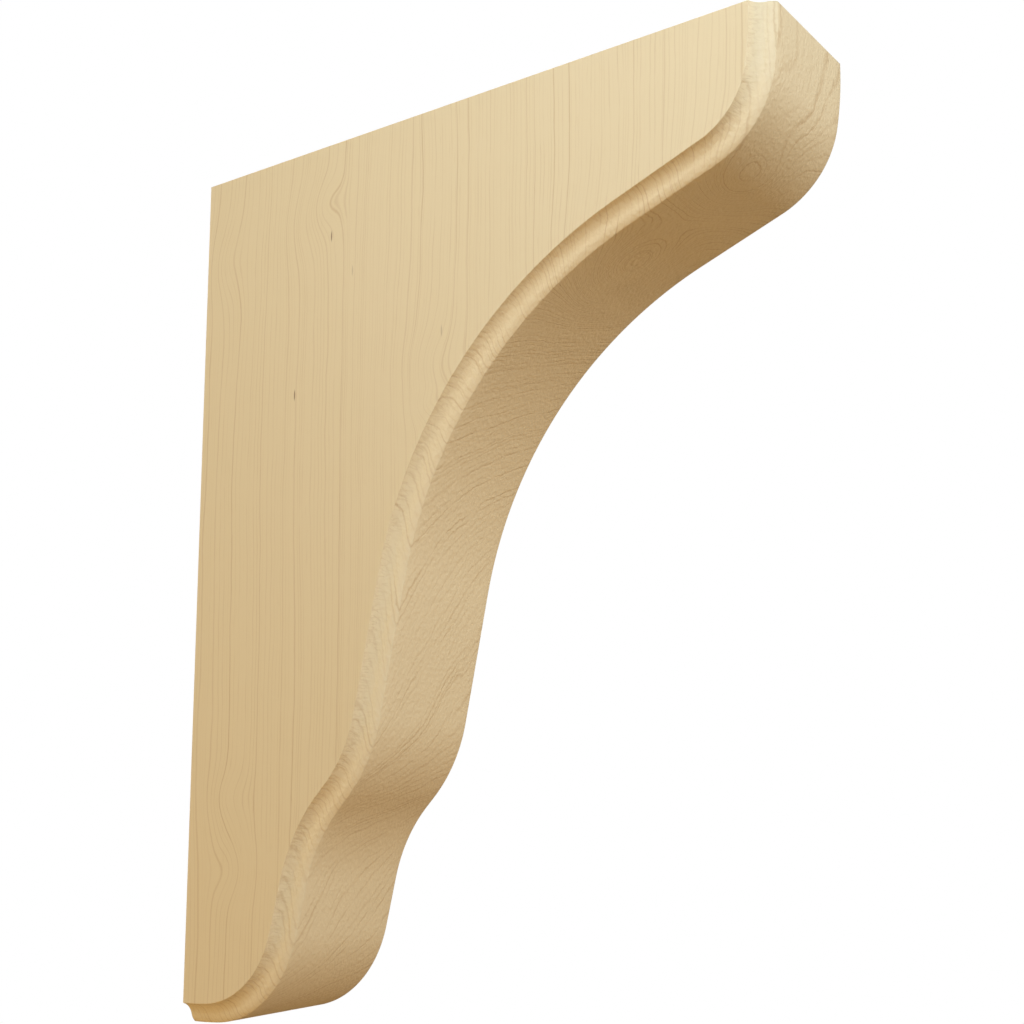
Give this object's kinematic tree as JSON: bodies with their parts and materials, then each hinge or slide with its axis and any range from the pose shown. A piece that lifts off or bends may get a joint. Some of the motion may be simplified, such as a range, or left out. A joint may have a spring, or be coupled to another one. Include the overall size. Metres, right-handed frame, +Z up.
{
  "type": "corbel bracket",
  "caption": "Wooden corbel bracket, sawn to a scrolled front that narrows down to the wall, with a moulded edge along both sides of the front.",
  "frame": {"origin": "middle of the flat back, the face that meets the wall", "axes": "+X out from the wall, +Y across the width, +Z up"},
  "size_m": [0.194, 0.048, 0.254],
  "materials": {
    "maple": "sanded bare wood, fine straight grain, matt"
  },
  "bodies": {
    "root": {"corbel_bracket": "maple"}
  },
  "joints": []
}
